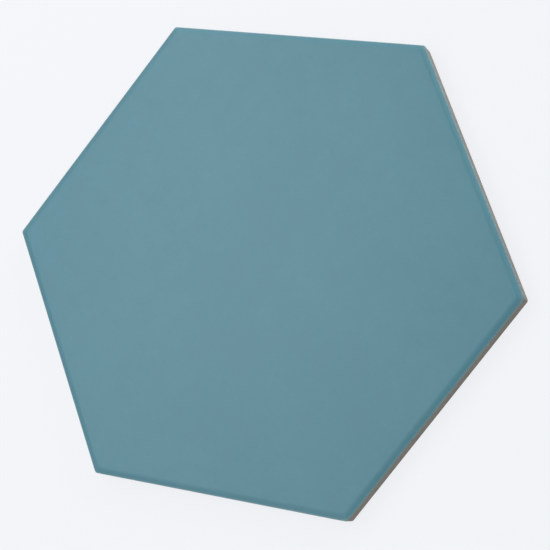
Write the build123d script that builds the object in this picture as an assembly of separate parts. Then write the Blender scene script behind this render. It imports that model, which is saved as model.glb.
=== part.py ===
"""A glazed ceramic hexagon tile, lying face up: one pressed and fired piece.

The origin is the middle of the back face. +Z is up, out of the glazed face, +X runs to a corner
and +Y to the middle of a side. All sizes are in millimetres.
"""

import os
from math import cos, radians, sin, sqrt, tan

from build123d import *

# Outline
SIDES = 6
ACROSS_FLATS = 175.0
CORNER_RADIUS = 1.3

# Section
THICKNESS = 8.5
CUSHION_WIDTH = 2.8  # how far the rounded margin of the face reaches in from the side
CUSHION_BEND_RADIUS = 4.0  # where the face turns down into the margin
CUSHION_SLOPE = 24.0  # degrees below level, from the bend out to the wall
ARRIS_RADIUS = 0.5  # the small round between the margin and the wall
FOOT_CHAMFER = 0.5

# Keying on the back: hexagonal pockets between ribs
POCKET_DEPTH = 0.6
POCKET_PITCH = 14.6
RIB_WIDTH = 2.6
POCKET_RINGS = 5

# Worked out from the sizes above
APOTHEM = ACROSS_FLATS / 2
SIDE = ACROSS_FLATS / sqrt(3)


def hexagon_prism():
    """The tile's outline with its small corner rounds, at the full thickness."""
    with BuildPart() as prism:
        with BuildSketch():
            RegularPolygon(radius=SIDE, side_count=SIDES)
        extrude(amount=THICKNESS)
        fillet(prism.edges().filter_by(Axis.Z), radius=CORNER_RADIUS)
        chamfer(prism.faces().sort_by(Axis.Z)[0].edges(), length=FOOT_CHAMFER)
    return prism.part


def cushion_section():
    """The section across the tile at a side: flat face, margin, the small arris and the wall.

    The section lies in the YZ plane and the side's wall is at Y = APOTHEM. The margin bends down
    from the face in an arc and runs on straight at the cushion's slope to where the arris, a small
    arc, turns it into the wall.
    """
    slope = radians(CUSHION_SLOPE)
    bend_reach = CUSHION_BEND_RADIUS * sin(slope)
    bend_drop = CUSHION_BEND_RADIUS * (1 - cos(slope))
    arris_reach = ARRIS_RADIUS * (1 - sin(slope))
    arris_drop = ARRIS_RADIUS * cos(slope)
    straight_reach = CUSHION_WIDTH - bend_reach - arris_reach
    rim_height = THICKNESS - bend_drop - straight_reach * tan(slope)

    face_end = (APOTHEM - CUSHION_WIDTH, THICKNESS)
    bend_end = (APOTHEM - CUSHION_WIDTH + bend_reach, THICKNESS - bend_drop)
    rim = (APOTHEM - arris_reach, rim_height)
    wall_top = (APOTHEM, rim_height - arris_drop)
    centre = (-APOTHEM, THICKNESS)
    with BuildSketch(Plane.YZ) as section:
        with BuildLine():
            Line(centre, face_end)
            TangentArc(face_end, bend_end, tangent=(1, 0))
            Line(bend_end, rim)
            TangentArc(rim, wall_top, tangent=(cos(slope), -sin(slope)))
            Polyline(wall_top, (APOTHEM, 0), (-APOTHEM, 0), centre)
        make_face()
    return section.sketch


def cushioned_body():
    """The prism, with the round margin cut along every side; neighbouring margins meet in mitres."""
    body = hexagon_prism()
    bar = extrude(cushion_section(), amount=SIDE, both=True)
    for number in range(SIDES):
        body = body & bar.rotate(Axis.Z, number * 360 / SIDES)
    return body


def pocket_centres():
    """Centres of the keying pockets: rings of a honeycomb, whose outer ring has its corners on X."""
    step_x = Vector(POCKET_PITCH, 0)
    step_y = Vector(POCKET_PITCH / 2, POCKET_PITCH * sqrt(3) / 2)
    centres = []
    for row in range(-POCKET_RINGS, POCKET_RINGS + 1):
        for column in range(-POCKET_RINGS, POCKET_RINGS + 1):
            if abs(row + column) <= POCKET_RINGS:
                centres.append(step_x * column + step_y * row)
    return centres


def keying_pockets():
    """The shallow hexagonal recesses, pressed into the back from below."""
    pocket_radius = (POCKET_PITCH - RIB_WIDTH) / sqrt(3)
    with BuildPart() as pockets:
        with BuildSketch():
            with Locations(*pocket_centres()):
                RegularPolygon(radius=pocket_radius, side_count=SIDES, rotation=90)
        extrude(amount=POCKET_DEPTH)
    return pockets.part


def hexagon_tile():
    """The whole tile as one solid."""
    return cushioned_body() - keying_pockets()


if __name__ == "__main__":
    os.makedirs("parts", exist_ok=True)
    tile = hexagon_tile()
    export_step(tile, "parts/hexagon_tile.step")
    print("volume cm3", round(tile.volume / 1000, 2), "solids", len(tile.solids()))
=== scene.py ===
"""A glazed ceramic hexagon tile on a pale floor: its shape, its satin glaze and its fired body."""

from math import cos, pi, radians, sin, sqrt, tan

import bmesh
import bpy
import numpy as np
from bpy.props import FloatProperty, FloatVectorProperty, IntProperty, PointerProperty
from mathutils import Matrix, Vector


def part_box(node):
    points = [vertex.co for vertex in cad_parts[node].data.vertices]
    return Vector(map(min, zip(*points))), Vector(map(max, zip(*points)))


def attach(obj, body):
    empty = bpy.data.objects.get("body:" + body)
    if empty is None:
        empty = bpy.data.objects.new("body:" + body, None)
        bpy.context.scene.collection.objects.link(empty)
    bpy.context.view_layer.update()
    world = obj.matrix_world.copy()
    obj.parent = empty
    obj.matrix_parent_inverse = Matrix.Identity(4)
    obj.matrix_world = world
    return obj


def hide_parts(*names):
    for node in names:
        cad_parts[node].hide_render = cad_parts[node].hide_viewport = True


bl_info = {
    "name": "Hexagon tile",
    "version": (1, 0, 0),
    "blender": (4, 5, 0),
    "location": "3D View > Sidebar > Hexagon tile",
    "description": "Builds a glazed ceramic hexagon tile and the pale stage that it lies on",
    "category": "Add Mesh",
}

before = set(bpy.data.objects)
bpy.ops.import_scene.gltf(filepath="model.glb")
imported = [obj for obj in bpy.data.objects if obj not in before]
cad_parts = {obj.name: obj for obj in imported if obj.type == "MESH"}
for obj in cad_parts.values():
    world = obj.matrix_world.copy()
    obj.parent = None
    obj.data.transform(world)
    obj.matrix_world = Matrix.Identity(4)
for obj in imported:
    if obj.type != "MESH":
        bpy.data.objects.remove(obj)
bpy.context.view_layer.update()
TILE_LOW, TILE_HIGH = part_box("hexagon_tile")

SIDES = 6
MM = 0.001

# Fine relief, in metres
GLAZE_WAVE = 0.012 * MM
PRESS_MARK = 0.012 * MM

# The glaze's lower edge, in metres along the section from the rim
LIP_ROUND = 0.05 * MM
GLAZE_SHORT = 0.06 * MM  # how far above the wall's top the glaze ends
GLAZE_WANDER = 0.22 * MM  # how far that end wanders up and down
LEAST_GLAZE = 0.06 * MM

# How much shorter still the glaze is at each corner, in metres, from +X round
BARE_CORNERS = np.array([0.50, 0.15, 0.10, 0.12, 0.56, 0.42]) * MM

# How finely the mesh is divided
CORNER_STEPS = 16
EDGE_STEPS = 8  # along one edge of a keying cell
FACE_ROWS = 26
BEND_ROWS = 9
MARGIN_ROWS = 6
ARRIS_ROWS = 7
WALL_ROWS = 9
FOOT_ROWS = 5
BORDER_ROWS = 5


# Sizes and colours that a user would change


class TileSizes(bpy.types.PropertyGroup):
    """Sizes of the tile, in metres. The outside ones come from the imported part."""

    across_flats: FloatProperty(
        name="Across flats",
        description="Width from one side to the opposite side",
        default=TILE_HIGH[1] - TILE_LOW[1],
        unit="LENGTH",
    )
    thickness: FloatProperty(
        name="Thickness",
        description="Height of the glazed face above the back",
        default=TILE_HIGH[2] - TILE_LOW[2],
        unit="LENGTH",
    )
    corner_radius: FloatProperty(
        name="Corner radius",
        description="Round of the six corners, seen from above",
        default=1.3 * MM,
        unit="LENGTH",
    )
    cushion_width: FloatProperty(
        name="Cushion width",
        description="How far the rounded margin of the face reaches in from the side",
        default=2.8 * MM,
        unit="LENGTH",
    )
    bend_radius: FloatProperty(
        name="Bend radius",
        description="Where the face turns down into the margin",
        default=4.0 * MM,
        unit="LENGTH",
    )
    cushion_slope: FloatProperty(
        name="Cushion slope",
        description="Slope of the margin from the bend to the arris",
        default=radians(24),
        subtype="ANGLE",
    )
    arris_radius: FloatProperty(
        name="Arris radius",
        description="Small round between the margin and the wall",
        default=0.5 * MM,
        unit="LENGTH",
    )
    foot_chamfer: FloatProperty(
        name="Foot chamfer", description="Chamfer around the back", default=0.5 * MM, unit="LENGTH"
    )
    glaze_lip: FloatProperty(
        name="Glaze lip",
        description="How far the glaze stands out from the bare wall",
        default=0.04 * MM,
        unit="LENGTH",
    )
    cell_pitch: FloatProperty(
        name="Cell pitch",
        description="Distance between keying pockets on the back",
        default=14.6 * MM,
        unit="LENGTH",
    )
    rib_width: FloatProperty(
        name="Rib width",
        description="Width of the ribs between the pockets",
        default=2.6 * MM,
        unit="LENGTH",
    )
    pocket_depth: FloatProperty(
        name="Pocket depth", description="Depth of the keying pockets", default=0.6 * MM, unit="LENGTH"
    )
    pocket_rings: IntProperty(
        name="Pocket rings", description="Rings of pockets around the middle one", default=5, min=1
    )


class TileColours(bpy.types.PropertyGroup):
    """Colours of the glaze and of the fired body."""

    glaze: FloatVectorProperty(
        name="Glaze",
        description="Blue-green of the satin glaze",
        subtype="COLOR",
        size=3,
        default=(0.0803, 0.2355, 0.2925),
    )
    # Partly real thin glaze and partly a painted highlight on the arris and the margin's outer part
    thin_glaze_and_highlight: FloatVectorProperty(
        name="Thin glaze",
        description="The glaze where it has run thin over the rim",
        subtype="COLOR",
        size=3,
        default=(0.26, 0.425, 0.455),
    )
    body: FloatVectorProperty(
        name="Fired body",
        description="Grey-beige of the bare fired clay",
        subtype="COLOR",
        size=3,
        default=(0.290, 0.261, 0.224),
    )
    body_speck: FloatVectorProperty(
        name="Body speck",
        description="Dark grains in the clay",
        subtype="COLOR",
        size=3,
        default=(0.13, 0.115, 0.098),
    )
    kiln_wash: FloatVectorProperty(
        name="Kiln wash",
        description="Pale wash left on the ribs of the back",
        subtype="COLOR",
        size=3,
        default=(0.62, 0.59, 0.55),
    )


class StageSettings(bpy.types.PropertyGroup):
    """The floor's colour and how strongly it is lit."""

    floor: FloatVectorProperty(
        name="Floor",
        description="Pale floor and backdrop",
        subtype="COLOR",
        size=3,
        default=(0.917, 0.936, 0.967),
    )
    light_level: FloatProperty(
        name="Light level",
        description="Scales all the soft lights together",
        default=1.0,
        subtype="FACTOR",
        min=0,
    )
    sky_level: FloatProperty(
        name="Sky level",
        description="Even light from all around",
        default=0.15,
        subtype="FACTOR",
        min=0,
        max=1,
    )


# Surfaces


def slow_waves(along, across, wavelength, seed):
    """Uneven, gentle waves over a surface, mostly between -1 and 1.

    The height is the mean of seven sine waves that cross at directions and phases drawn once from
    the seed, with lengths between half and one and a half times the wavelength.
    """
    draw = np.random.default_rng(seed)
    heading, phase = draw.uniform(0, 2 * pi, (2, 7))
    length = wavelength * draw.uniform(0.5, 1.5, 7)
    travelled = np.multiply.outer(along, np.cos(heading)) + np.multiply.outer(across, np.sin(heading))
    return np.sin(2 * pi * travelled / length + phase).mean(axis=-1) * 1.4


def rounded_hexagon(apothem, radius, side_steps):
    """Rings of points on hexagons with rounded corners, one ring for each apothem, and their headings.

    A ring starts at the middle of the corner on +X. Each corner is an arc of 60 degrees about a
    centre on the line to the corner, (apothem - radius) * 2 / sqrt(3) out, and each side is the
    straight line between two arcs. The points are rings by points by (x, y). A heading is the unit
    vector straight out from the outline, the same for every ring.
    """
    apothem, radius = np.atleast_1d(apothem)[:, None], np.atleast_1d(radius)[:, None]
    turn = np.linspace(-pi / SIDES, pi / SIDES, CORNER_STEPS + 1)
    reach = (apothem - radius) * 2 / sqrt(3)
    arc = (reach + radius * np.cos(turn)) + 1j * radius * np.sin(turn)
    step = np.arange(1, side_steps) / side_steps
    side = arc[:, -1:] * (1 - step) + arc[:, :1] * np.exp(1j * pi / 3) * step
    round_about = np.exp(1j * np.arange(SIDES) * pi / 3)[:, None]
    sector = np.hstack([arc, side])[:, None] * round_about
    straight = np.full(side_steps - 1, pi / SIDES)
    heading = (np.exp(1j * np.concatenate([turn, straight])) * round_about).ravel()
    rings = np.roll(sector.reshape(len(apothem), -1), -(CORNER_STEPS // 2), axis=1)
    heading = np.roll(heading, -(CORNER_STEPS // 2))
    return np.stack([rings.real, rings.imag], axis=-1), np.stack([heading.real, heading.imag], axis=-1)


def joined_rings(first, rings, count):
    """The four-sided faces between neighbouring rings of points, numbered from first."""
    ring = np.arange(rings - 1)[:, None] * count
    here = np.arange(count)[None, :]
    after = (here + 1) % count
    corners = [ring + here, ring + count + here, ring + count + after, ring + after]
    return np.stack(corners, axis=-1).reshape(-1, 4) + first


def glazed_rings(sizes, side_steps):
    """Rings of the face and its margin, from near the middle out to the rim.

    The face is rings that shrink toward the middle, a hair below the full thickness by slow waves.
    The margin bends down from the face in an arc, to the cushion's slope, and runs on straight to
    the arris. A ring's corner radius grows inward, as glaze fills the mitre between two margins.
    """
    apothem, width, slope = sizes.across_flats / 2, sizes.cushion_width, sizes.cushion_slope
    rim_inset = sizes.arris_radius * (1 - sin(slope))
    turn = np.linspace(0, slope, BEND_ROWS)
    bend = sizes.bend_radius * np.sin(turn)
    bend_drop = sizes.bend_radius * (1 - np.cos(turn))
    straight = np.linspace(0, width - bend[-1] - rim_inset, MARGIN_ROWS)[1:]
    face_inset = np.linspace(apothem, width, FACE_ROWS + 1)[1:-1]
    inset = np.concatenate([face_inset, width - bend, width - bend[-1] - straight])
    drop = np.concatenate([0 * face_inset, bend_drop, bend_drop[-1] + straight * tan(slope)])
    depth = np.clip((inset - rim_inset) / (width - rim_inset), 0, 1)
    corner = np.minimum(sizes.corner_radius * (1 + 1.2 * depth) - rim_inset, 0.5 * (apothem - inset))
    rings, _ = rounded_hexagon(apothem - inset, corner, side_steps)
    along, across = rings[..., 0], rings[..., 1]
    wave = 0.5 * slow_waves(along, across, 70 * MM, 11) + 0.5 * slow_waves(along, across, 24 * MM, 12)
    away_from_rim = np.clip((inset - 0.6 * MM) / (4 * MM), 0, 1)[:, None]
    height = sizes.thickness - drop[:, None] - GLAZE_WAVE * (1 + wave) * away_from_rim
    return np.concatenate([rings, height[..., None]], axis=-1), drop[-1]


def edge_rings(sizes, side_steps, margin_drop):
    """Rings over the arris, down the bare wall and round the foot, and how many of them are glazed.

    The section is walked by its length from the rim: first an arc from the cushion's slope to
    upright, then straight down. The glaze covers it as far as a line that wanders along the tile,
    and ends there in a rounded lip. At three of the corners it ends early, and the arris is bare.
    The clay goes on behind the lip, with a fine relief pressed inward, to the round foot. A point
    is the outline's, moved straight in by its inset.
    """
    outline, heading = rounded_hexagon(sizes.across_flats / 2, sizes.corner_radius, side_steps)
    outline = outline[0]
    step_lengths = np.hypot(*np.diff(outline, axis=0, append=outline[:1]).T)
    travel = np.cumsum(step_lengths) - step_lengths
    wander = slow_waves(travel, 0 * travel, 9 * MM, 3) + 0.6 * slow_waves(travel, 0 * travel, 3.5 * MM, 4)
    arris, lip, slope = sizes.arris_radius, sizes.glaze_lip, sizes.cushion_slope
    arc = arris * (pi / 2 - slope)
    corner_reach = sizes.across_flats / sqrt(3)
    near_corner = np.exp(-((np.hypot(*outline.T) - corner_reach) / (1.7 * MM)) ** 2)
    nearest = np.round(np.arctan2(outline[:, 1], outline[:, 0]) / (pi / 3)).astype(int) % SIDES
    usual_end = arc - GLAZE_SHORT + GLAZE_WANDER * wander
    glaze_end = np.maximum(usual_end - BARE_CORNERS[nearest] * near_corner, LEAST_GLAZE)
    share = np.linspace(0, 1, ARRIS_ROWS)[1:, None]
    lip_end = glaze_end + LIP_ROUND
    lip_rows = glaze_end + LIP_ROUND * np.array([[0.4], [0.8], [1.0]])
    bare_rows = lip_end + (arc + 1.0 * MM - lip_end) * share
    walked = np.concatenate([glaze_end * share, lip_rows, bare_rows])
    lip_fall = lip * np.array([0.2, 0.7])
    under = np.concatenate([np.zeros(ARRIS_ROWS - 1), lip_fall, np.full(ARRIS_ROWS, lip)])[:, None]
    turn = np.minimum(slope + walked / arris, pi / 2)
    arris_middle = sizes.thickness - margin_drop - arris * cos(slope)
    inset = arris - (arris - under) * np.sin(turn)
    height = arris_middle + (arris - under) * np.cos(turn) - np.maximum(walked - arc, 0)

    foot = sizes.foot_chamfer * 0.8
    foot_turn = np.linspace(0, pi / 2, FOOT_ROWS)[:, None]
    foot_inset = lip + foot * (1 - np.cos(foot_turn)) + 0 * travel
    foot_height = foot * (1 - np.sin(foot_turn)) + 0 * travel
    down = np.linspace(0, 1, WALL_ROWS)[1:-1, None]
    wall_height = height[-1:] + (foot - height[-1:]) * down
    wall_inset = lip + 0 * wall_height
    inset = np.concatenate([inset, wall_inset, foot_inset])
    height = np.concatenate([height, wall_height, foot_height])

    above_foot = np.clip((height - 0.3 * foot) / MM, 0, 1)
    below_arris = np.clip((arris_middle + 0.2 * MM - height) / MM, 0, 1)
    marks = slow_waves(np.broadcast_to(travel, height.shape), height, 2.6 * MM, 21)
    inset += PRESS_MARK * (1 + marks) * above_foot * below_arris
    points = outline - inset[..., None] * heading
    return np.concatenate([points, height[..., None]], axis=-1), ARRIS_ROWS + 1


def face_and_wall(sizes):
    """The tile from the middle of its face down to the back's border, as faces between rings.

    A ring has as many points as the honeycomb's outer edge, which has two edges of cells for each
    ring of pockets, and one more, to a side of the tile.
    """
    side_steps = (2 * sizes.pocket_rings + 1) * EDGE_STEPS - CORNER_STEPS
    upper, margin_drop = glazed_rings(sizes, side_steps)
    lower, glazed_rows = edge_rings(sizes, side_steps, margin_drop)
    rings = np.concatenate([upper, lower])
    rows, count = rings.shape[:2]
    middle = [[0.0, 0.0, sizes.thickness - GLAZE_WAVE]]
    points = np.concatenate([middle, rings.reshape(-1, 3)])
    quads = joined_rings(1, rows, count)
    here = np.arange(count)
    fan = np.stack([0 * here, 1 + here, 1 + (here + 1) % count], axis=-1)
    is_body = np.repeat(np.arange(rows - 1) >= len(upper) + glazed_rows - 1, count)
    return points, quads, fan, points[-count:], is_body


def cell_edge(radius, steps):
    """Points around a cell with its corners on Y: steps to each of its six straight edges."""
    corner = pi / 6 + np.arange(SIDES + 1) * pi / 3
    corner_points = radius * np.stack([np.cos(corner), np.sin(corner)], axis=-1)
    step = np.arange(steps)[None, :, None] / steps
    points = corner_points[:-1, None] * (1 - step) + corner_points[1:, None] * step
    return points.reshape(-1, 2)


def keying_cells(sizes):
    """The back's honeycomb: a rib, a drafted wall and a flat floor in every cell.

    A cell is rings of its own outline: at full size on the rib's middle line, at the pocket's size
    where the rib ends, and smaller again at the pocket's floor, closed by a point in the middle.
    """
    pitch, rings = sizes.cell_pitch, sizes.pocket_rings
    column, row = np.meshgrid(np.arange(-rings, rings + 1), np.arange(-rings, rings + 1))
    kept = np.abs(row + column) <= rings
    centre = np.stack([pitch * (column + row / 2), pitch * sqrt(3) / 2 * row], axis=-1)[kept]

    full = pitch / sqrt(3)
    pocket = (pitch - sizes.rib_width) / sqrt(3)
    rounding = np.array([0.10, -0.05, -0.25, -0.50]) * MM
    radius = np.concatenate([[full], pocket + rounding, [0.4 * pocket]])[:, None, None]
    depth = np.array([0.0, 0.0, 0.12, 0.86, 1.0, 1.0])[:, None, None] * sizes.pocket_depth
    unit = cell_edge(1.0, EDGE_STEPS)
    rows, count = len(radius), len(unit)
    cell = np.concatenate([radius * unit, np.broadcast_to(depth, (rows, count, 1))], axis=-1)
    cell = np.concatenate([cell.reshape(-1, 3), [[0.0, 0.0, sizes.pocket_depth]]])
    points = cell[None] + np.concatenate([centre, np.zeros((len(centre), 1))], axis=-1)[:, None]

    quads = joined_rings(0, rows, count)
    here = np.arange(count) + (rows - 1) * count
    fan = np.stack([0 * here + rows * count, here[np.arange(1, count + 1) % count], here], axis=-1)
    first = np.arange(len(centre))[:, None, None] * len(cell)
    return points.reshape(-1, 3), (quads[None] + first).reshape(-1, 4), (fan[None] + first).reshape(-1, 3)


def zigzag(sizes):
    """The honeycomb's outer edge, from the middle of its corner on +X, EDGE_STEPS points to an edge.

    Going round, the edge of the corner cell that faces +X comes first. Along the tile's side, edges
    that face 60 degrees and edges that face 0 degrees then follow in turn.
    """
    pitch, rings = sizes.cell_pitch, sizes.pocket_rings
    length = pitch / sqrt(3)
    facing = np.radians([0, 60] * rings + [0])
    start = pitch * (rings + 0.5) - 0.5j * length
    corners = np.concatenate([[start], start + np.cumsum(1j * length * np.exp(1j * facing))])[:, None]
    step = np.arange(EDGE_STEPS) / EDGE_STEPS
    sector = (corners[:-1] * (1 - step) + corners[1:] * step).ravel()
    ring = (sector * np.exp(1j * np.arange(SIDES) * pi / 3)[:, None]).ravel()
    ring = np.roll(ring, -(EDGE_STEPS // 2))
    return np.stack([ring.real, ring.imag], axis=-1)


def tile_mesh(sizes):
    """The whole tile as one closed mesh: face and wall, the back's flat border, and the honeycomb."""
    points, quads, fan, foot_ring, is_body = face_and_wall(sizes)
    count = len(foot_ring)
    inner = np.concatenate([zigzag(sizes), np.zeros((count, 1))], axis=-1)
    share = np.linspace(0, 1, BORDER_ROWS)[:, None, None]
    border = (foot_ring[None] * (1 - share) + inner[None] * share).reshape(-1, 3)
    border_quads = joined_rings(0, BORDER_ROWS, count)
    cell_points, cell_quads, cell_fan = keying_cells(sizes)

    first_border = len(points)
    first_cell = first_border + len(border)
    every_point = np.concatenate([points, border, cell_points])
    four_sided = np.concatenate([quads, border_quads + first_border, cell_quads + first_cell])
    three_sided = np.concatenate([fan, cell_fan + first_cell])
    back_quads, glazed, bare = len(border_quads) + len(cell_quads), 0, 1
    finish = np.concatenate([is_body, [bare] * back_quads, [glazed] * len(fan), [bare] * len(cell_fan)])

    mesh = bpy.data.meshes.new("hexagon_tile_dressed")
    mesh.from_pydata(every_point.tolist(), [], four_sided.tolist() + three_sided.tolist())
    mesh.polygons.foreach_set("material_index", finish.astype(np.int32))
    mesh.polygons.foreach_set("use_smooth", np.ones(len(finish), bool))
    shell = bmesh.new()
    shell.from_mesh(mesh)
    bmesh.ops.remove_doubles(shell, verts=shell.verts, dist=0.002 * MM)
    shell.to_mesh(mesh)
    shell.free()
    mesh.set_sharp_from_angle(angle=radians(50))
    return mesh


# Finishes


class Tone:
    """A value over a surface: a node's output that can be used in sums like a number."""

    def __init__(self, finish, socket):
        self.finish = finish
        self.socket = socket

    def sum(self, operation, first, second, clamp=False):
        """The result of one Math node."""
        settings = {"operation": operation, "use_clamp": clamp}
        return self.finish.node("ShaderNodeMath", settings, {0: first, 1: second})

    def __add__(self, other):
        return self.sum("ADD", self, other)

    __radd__ = __add__

    def __mul__(self, other):
        return self.sum("MULTIPLY", self, other)

    __rmul__ = __mul__

    def __sub__(self, other):
        return self.sum("SUBTRACT", self, other)

    def __rsub__(self, other):
        return self.sum("SUBTRACT", other, self)

    def clamped(self):
        """The same value, kept between 0 and 1."""
        return self.sum("ADD", self, 0.0, clamp=True)

    def between(self, low, high):
        """0 below low, 1 above high, and a straight ramp from one to the other."""
        return ((self - low) * (1 / (high - low))).clamped()


class Finish:
    """One material or world, and the nodes that make it."""

    def __init__(self, owner):
        owner.use_nodes = True
        self.owner = owner
        self.tree = owner.node_tree
        self.tree.nodes.clear()

    def node(self, kind, settings=None, inputs=None, output=0):
        """Adds one node: its settings first, then a value or a link for each named socket."""
        made = self.tree.nodes.new(kind)
        for name, value in (settings or {}).items():
            setattr(made, name, value)
        for name, value in (inputs or {}).items():
            socket = made.inputs[name]
            if isinstance(value, Tone):
                self.tree.links.new(value.socket, socket)
            elif hasattr(value, "__len__") and len(value) == 3 and len(socket.default_value) == 4:
                socket.default_value = (*value, 1.0)
            else:
                socket.default_value = value
        return Tone(self, made.outputs[output]) if made.outputs else None

    def place(self):
        """Object coordinates, in metres from the middle of the tile's back."""
        return self.node("ShaderNodeTexCoord", output="Object")

    def height(self):
        """Height above the floor, in metres."""
        return self.node("ShaderNodeSeparateXYZ", {}, {0: self.place()}, output=2)

    def reach(self):
        """Distance from the middle of the tile's back, in metres."""
        return self.node("ShaderNodeVectorMath", {"operation": "LENGTH"}, {0: self.place()}, output="Value")

    def cloud(self, size, detail=2.0, stretch=(1.0, 1.0, 1.0), rough=0.5):
        """Soft noise, about 0.5 in the mean, with features of a given size in metres."""
        spread = tuple(part / size for part in stretch)
        place = self.node("ShaderNodeMapping", {}, {"Vector": self.place(), "Scale": spread})
        noise = {"Vector": place, "Scale": 1.0, "Detail": detail, "Roughness": rough}
        return self.node("ShaderNodeTexNoise", {}, noise)

    def grains(self, size, shift=0.0):
        """Distance to the nearest of many scattered grains, 0 at a grain's middle."""
        mapping = {"Vector": self.place(), "Location": (shift,) * 3, "Scale": (1 / size,) * 3}
        place = self.node("ShaderNodeMapping", {}, mapping)
        return self.node("ShaderNodeTexVoronoi", {}, {"Vector": place, "Scale": 1.0}, output="Distance")

    def mixed(self, share, first, second):
        """The first colour turning into the second as share goes from 0 to 1."""
        settings = {"data_type": "RGBA", "blend_type": "MIX", "clamp_factor": True}
        return self.node("ShaderNodeMix", settings, {0: share, 6: first, 7: second}, output=2)

    def shaded(self, colour, amount):
        """A colour made lighter or darker by an amount about 1."""
        return self.node("ShaderNodeVectorMath", {"operation": "SCALE"}, {0: colour, 3: amount})

    def relief(self, height, distance):
        """Normals of a surface that rises by distance where height goes from 0 to 1."""
        return self.node("ShaderNodeBump", {}, {"Strength": 1.0, "Distance": distance, "Height": height})

    def looked_at(self):
        """1 where the camera, gloss or clear stuff looks, and 0 for the light that falls on things."""
        seen = self.node("ShaderNodeLightPath", output="Is Camera Ray")
        gloss = self.node("ShaderNodeLightPath", output="Is Glossy Ray")
        through = self.node("ShaderNodeLightPath", output="Is Transmission Ray")
        return (seen + gloss + through).clamped()

    def surface(self, shader):
        """Ends the material or world with its shader, and returns it."""
        of_world = isinstance(self.owner, bpy.types.World)
        kind = "ShaderNodeOutputWorld" if of_world else "ShaderNodeOutputMaterial"
        self.node(kind, {}, {"Surface": shader})
        return self.owner


def satin_glaze(colours, sizes):
    """Satin blue-green glaze: faint clouds of tone, fine orange peel and a few pinholes.

    It is thinnest, and paler, where the margin turns over into the arris, and at the corners. Over the
    margin and the arris that paler band is partly a painted highlight.
    """
    finish = Finish(bpy.data.materials.new("satin_glaze_finish"))
    broad = finish.cloud(42 * MM)
    patch = finish.cloud(9 * MM, detail=3.0)
    mottle = finish.cloud(1.3 * MM, detail=3.0, rough=0.6)
    tone = 1 + (broad - 0.5) * 0.10 + (patch - 0.5) * 0.12 + (mottle - 0.5) * 0.09

    fall = sizes.thickness - finish.height()
    # Thinning starts near the end of the margin's slope, and the glaze is thicker again below the arris.
    # The paler colour of that thin band is partly a painted highlight.
    rim_thin_and_highlight = fall.between(0.56 * MM, 0.90 * MM) * (1 - 0.6 * fall.between(0.88 * MM, 1.06 * MM))
    corner_reach = sizes.across_flats / sqrt(3)
    corner_thin = finish.reach().between(corner_reach - 1.34 * MM, corner_reach + 0.06 * MM)
    thinness_and_highlight = ((rim_thin_and_highlight + 0.5 * corner_thin) * (0.7 + 0.6 * patch)).clamped()

    greener = tuple(part * share for part, share in zip(colours.glaze, (0.992, 1.002, 0.996)))
    bluer = tuple(part * share for part, share in zip(colours.glaze, (1.008, 0.998, 1.004)))
    glaze = finish.mixed(finish.cloud(16 * MM, detail=1.0).between(0.35, 0.65), greener, bluer)
    specks = 1 - finish.grains(2.1 * MM, 3.7).between(0.06, 0.11)
    glaze = finish.mixed(specks * 0.25, glaze, tuple(part * 0.75 for part in colours.glaze))
    # Partly painted highlight: mixing in the pale thin glaze lightens the margin's outer part and the arris
    colour = finish.shaded(finish.mixed(thinness_and_highlight * 0.53, glaze, tuple(colours.thin_glaze_and_highlight)), tone)

    pinholes = finish.grains(6.5 * MM, 1.3).between(0.015, 0.035)
    peel = finish.cloud(1.9 * MM)
    satin = finish.cloud(0.28 * MM)
    height = peel * 0.7 + satin * 0.12 + pinholes * 0.8
    rough = 0.44 + (patch - 0.5) * 0.05 - thinness_and_highlight * 0.18
    shader = finish.node(
        "ShaderNodeBsdfPrincipled",
        {},
        {"Base Color": colour, "Roughness": rough, "IOR": 1.5, "Normal": finish.relief(height, 0.012 * MM)},
    )
    return finish.surface(shader)


def fired_body(colours, sizes):
    """Bare fired clay: fine grain, dark specks, upright press marks on the wall, wash on the ribs.

    Runs of glaze stain it pale just below the glaze's edge, and painted shade makes it darker toward the
    floor.
    """
    finish = Finish(bpy.data.materials.new("fired_body_finish"))
    grain = finish.cloud(0.5 * MM, detail=4.0, rough=0.65)
    patch = finish.cloud(11 * MM, detail=3.0)
    marks = finish.cloud(0.9 * MM, detail=3.0, stretch=(1.0, 1.0, 0.12))
    tone = 1 + (grain - 0.5) * 0.30 + (patch - 0.5) * 0.16 + (marks - 0.5) * 0.22
    # Painted shade: the clay is darkened toward the floor, to 0.8 at the floor and full by 1.6 mm up, which
    # darkens the back too
    tone = tone * (0.8 + 0.2 * finish.height().between(0, 1.6 * MM))

    specks = 1 - finish.grains(1.5 * MM).between(0.10, 0.17)
    clay = finish.mixed(specks * 0.6, tuple(colours.body), tuple(colours.body_speck))
    on_ribs = 1 - finish.height().between(0.06 * MM, 0.30 * MM)
    worn = finish.cloud(4.5 * MM, detail=4.0, rough=0.6).between(0.34, 0.62)
    clay = finish.mixed(on_ribs * worn * 0.5, clay, tuple(colours.kiln_wash))
    run = finish.cloud(1.6 * MM, detail=3.0, rough=0.6) * 1.5 * MM
    stained = (finish.height() + run).between(sizes.thickness - 0.75 * MM, sizes.thickness - 0.55 * MM)
    clay = finish.mixed(stained * 0.35, clay, tuple(colours.thin_glaze_and_highlight))
    colour = finish.shaded(clay, tone)

    height = grain * 0.6 + marks * 0.4 - specks * 0.3
    rough = 0.88 + (grain - 0.5) * 0.12
    shader = finish.node(
        "ShaderNodeBsdfPrincipled",
        {},
        {"Base Color": colour, "Roughness": rough, "IOR": 1.45, "Normal": finish.relief(height, 0.03 * MM)},
    )
    return finish.surface(shader)


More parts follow.
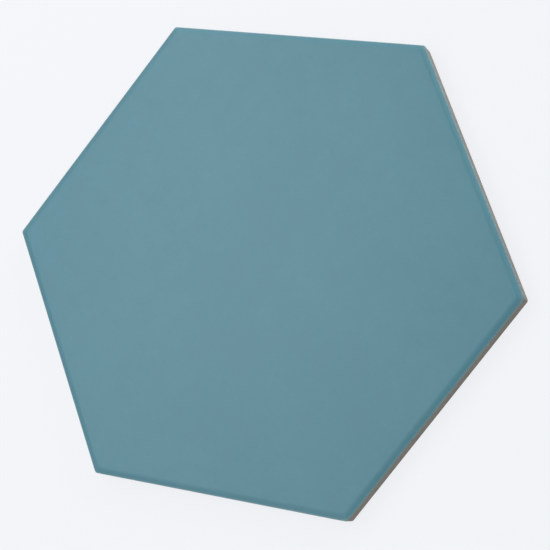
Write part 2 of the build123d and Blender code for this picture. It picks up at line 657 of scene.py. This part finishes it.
def pale_floor(stage):
    """A pale floor that takes shadows, and is see-through from beneath.

    For the camera and in gloss it is mostly its own even colour. Light that comes from right above
    it, off the tile's back, goes through it too, so that the back can be looked at from below.
    """
    finish = Finish(bpy.data.materials.new("pale_floor"))
    lit = finish.node("ShaderNodeBsdfDiffuse", {}, {"Color": tuple(stage.floor)})
    even = finish.node("ShaderNodeEmission", {}, {"Color": tuple(stage.floor), "Strength": 1.0})
    pale = finish.node("ShaderNodeMixShader", {}, {0: finish.looked_at() * 0.87, 1: lit, 2: even})
    beneath = finish.node("ShaderNodeNewGeometry", output="Backfacing")
    off_the_back = 1 - finish.node("ShaderNodeLightPath", output="Ray Length").between(1.5 * MM, 1.6 * MM)
    clear = finish.node("ShaderNodeBsdfTransparent")
    share = (beneath + off_the_back).clamped()
    return finish.surface(finish.node("ShaderNodeMixShader", {}, {0: share, 1: pale, 2: clear}))


def studio_sky(stage):
    """A little even light from all around. The camera and gloss see it as the pale backdrop."""
    finish = Finish(bpy.data.worlds.new("studio_sky"))
    looked_at = finish.looked_at()
    strength = looked_at + (1 - looked_at) * stage.sky_level
    backdrop = finish.node("ShaderNodeBackground", {}, {"Color": tuple(stage.floor), "Strength": strength})
    return finish.surface(backdrop)


# Operators


class HEXAGON_TILE_OT_tile(bpy.types.Operator):
    """Make the tile with its glaze and its bare body"""

    bl_idname = "hexagon_tile.make_tile"
    bl_label = "Make the tile"

    def execute(self, context):
        sizes, colours = context.scene.tile_sizes, context.scene.tile_colours
        tile = bpy.data.objects.new("hexagon_tile_dressed", tile_mesh(sizes))
        context.scene.collection.objects.link(tile)
        tile.data.materials.append(satin_glaze(colours, sizes))
        tile.data.materials.append(fired_body(colours, sizes))
        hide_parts("hexagon_tile")
        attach(tile, "root")
        return {"FINISHED"}


def soft_light(name, elevation, azimuth, distance, power):
    """A square soft light that faces the tile and isn't itself in the picture.

    The elevation is above the floor and the azimuth is from +X towards +Y, both in degrees.
    """
    light = bpy.data.lights.new(name, "AREA")
    light.shape = "SQUARE"
    light.size = 0.65 * distance
    light.energy = power
    lamp = bpy.data.objects.new(name, light)
    up, round_about = radians(elevation), radians(azimuth)
    toward = Vector((cos(up) * cos(round_about), cos(up) * sin(round_about), sin(up)))
    lamp.location = distance * toward
    lamp.rotation_mode = "QUATERNION"
    lamp.rotation_quaternion = (-toward).to_track_quat("-Z", "Y")
    lamp.visible_camera = False
    bpy.context.scene.collection.objects.link(lamp)


class HEXAGON_TILE_OT_stage(bpy.types.Operator):
    """Set the floor, the lights and the camera"""

    bl_idname = "hexagon_tile.set_stage"
    bl_label = "Set the stage"

    def execute(self, context):
        scene, stage = context.scene, context.scene.stage_settings
        low, high, below = -4.0, 4.0, -0.02 * MM
        corners = [(low, low, below), (high, low, below), (high, high, below), (low, high, below)]
        mesh = bpy.data.meshes.new("floor")
        mesh.from_pydata(corners, [], [(0, 1, 2, 3)])
        mesh.materials.append(pale_floor(stage))
        floor = bpy.data.objects.new("floor", mesh)
        scene.collection.objects.link(floor)

        level, near, far = stage.light_level, 0.6, 1.25
        soft_light("top_light", 72, 105, near, 0.66 * level)
        soft_light("rear_light", 60, 90, near, 0.54 * level)
        soft_light("left_light", 60, 150, near, 0.42 * level)
        soft_light("right_light", 38, 60, near, 0.62 * level)
        soft_light("front_light", 45, 210, near, 0.41 * level)
        soft_light("far_right_light", 18, 0, far, 8.24 * level)
        soft_light("far_front_light", 18, 210, far, 2.19 * level)
        # Only for views from below, through the floor
        soft_light("under_light", -90, 0, far, 9.0 * level)
        scene.world = studio_sky(stage)

        # The camera that fits the tile's outline in the photo
        camera = bpy.data.cameras.new("camera")
        camera.lens = 96.72
        camera.sensor_width = 36.0
        camera.clip_start = 0.01
        camera.clip_end = 20.0
        view = bpy.data.objects.new("camera", camera)
        view.location = (0.05392, -0.20011, 0.51778)
        view.rotation_euler = (radians(8.737), radians(19.486), radians(-49.757))
        scene.collection.objects.link(view)
        scene.camera = view
        scene.view_settings.view_transform = "Standard"
        return {"FINISHED"}


class VIEW3D_PT_hexagon_tile(bpy.types.Panel):
    """Sizes, colours and the two steps that build the tile"""

    bl_idname = "VIEW3D_PT_hexagon_tile"
    bl_label = "Hexagon tile"
    bl_space_type = "VIEW_3D"
    bl_region_type = "UI"
    bl_category = "Hexagon tile"

    def draw(self, context):
        scene = context.scene
        for heading, group in (
            ("Sizes", scene.tile_sizes),
            ("Colours", scene.tile_colours),
            ("Stage", scene.stage_settings),
        ):
            box = self.layout.box()
            box.label(text=heading)
            for name in group.__annotations__:
                box.prop(group, name)
        self.layout.operator("hexagon_tile.make_tile")
        self.layout.operator("hexagon_tile.set_stage")


CLASSES = (
    TileSizes,
    TileColours,
    StageSettings,
    HEXAGON_TILE_OT_tile,
    HEXAGON_TILE_OT_stage,
    VIEW3D_PT_hexagon_tile,
)


def register():
    for kind in CLASSES:
        bpy.utils.register_class(kind)
    bpy.types.Scene.tile_sizes = PointerProperty(type=TileSizes)
    bpy.types.Scene.tile_colours = PointerProperty(type=TileColours)
    bpy.types.Scene.stage_settings = PointerProperty(type=StageSettings)


def unregister():
    del bpy.types.Scene.stage_settings
    del bpy.types.Scene.tile_colours
    del bpy.types.Scene.tile_sizes
    for kind in reversed(CLASSES):
        bpy.utils.unregister_class(kind)


def main():
    """Builds the tile and its stage."""
    register()
    bpy.ops.hexagon_tile.make_tile()
    bpy.ops.hexagon_tile.set_stage()


if __name__ == "__main__":
    main()
